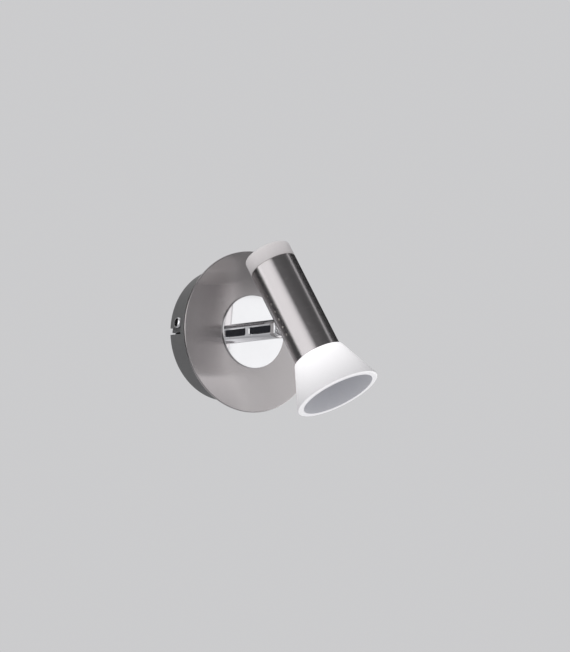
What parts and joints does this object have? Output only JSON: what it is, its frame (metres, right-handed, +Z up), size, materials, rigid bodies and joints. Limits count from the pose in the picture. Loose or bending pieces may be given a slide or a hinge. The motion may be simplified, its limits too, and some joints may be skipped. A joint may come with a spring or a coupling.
{
  "type": "wall spotlight",
  "caption": "Wall spotlight with a round brushed canopy, a short polished arm and a tube head with a flared frosted shade; the head swivels and tilts.",
  "frame": {"origin": "middle of the mounting plate's back, on the wall, midway between the two wall slots", "axes": "X to the right as seen from the room, +Y into the wall (the lamp stands out along -Y), +Z up"},
  "size_m": [0.11, 0.14, 0.117],
  "materials": {
    "satin_nickel": "satin nickel, brushed upright",
    "satin_aluminium": "satin, brushed around",
    "grey_lacquer": "matt grey lacquer",
    "chrome": "polished chrome plate",
    "dark_inlay": "dark, half gloss",
    "opal_acrylic": "frosted, lets light through",
    "clear_acrylic": "clear, polished",
    "zinc_steel": "bright zinc plate",
    "black_rubber": "soft, matt",
    "white_plastic": "moulded, matt",
    "brass": "turned",
    "raw_aluminium": "as extruded",
    "board_white": "white solder mask on metal",
    "phosphor": "yellow gel"
  },
  "bodies": {
    "base": {"front_plate": "satin_nickel", "canopy_drum": "grey_lacquer", "chrome_disc": "chrome", "arm": "chrome", "side_screws": "chrome", "arm_inlays": "dark_inlay", "mount_plate": "zinc_steel", "plate_screws": "zinc_steel", "driver_screws": "zinc_steel", "terminal_screws": "zinc_steel", "earth_screw": "zinc_steel", "earth_washer": "zinc_steel", "arm_nipple": "zinc_steel", "lock_washer": "zinc_steel", "arm_nut": "zinc_steel", "arm_dowel": "zinc_steel", "cable_grommet": "black_rubber", "led_driver": "white_plastic", "terminal_block": "white_plastic", "clamp_screws": "brass"},
    "knuckle_body": {"knuckle": "chrome", "hinge_pin": "chrome", "wave_washer": "zinc_steel", "retaining_ring": "zinc_steel"},
    "head": {"hinge_lug": "chrome", "saddle_washer": "zinc_steel", "lug_nut": "zinc_steel", "lamp_tube": "satin_aluminium", "set_screws": "zinc_steel", "top_cap": "opal_acrylic", "shade": "opal_acrylic", "lens": "clear_acrylic", "lower_heat_sink": "raw_aluminium", "upper_heat_sink": "raw_aluminium", "lower_led_board": "board_white", "upper_led_board": "board_white", "lower_board_screws": "zinc_steel", "upper_board_screws": "zinc_steel", "lower_emitter": "phosphor", "upper_emitter": "phosphor"}
  },
  "joints": [
    {"name": "knuckle_swivel", "type": "hinge", "parent": "base", "child": "knuckle_body", "pos_m": [0, -0.06705, 0], "axis": [0, -1, 0], "range_deg": [-178.1, 151.9]},
    {"name": "head_tilt", "type": "hinge", "parent": "knuckle_body", "child": "head", "pos_m": [0, -0.06705, 0], "axis": [-0.974, 0, -0.2267], "range_deg": [-46.7, 15.3]}
  ]
}
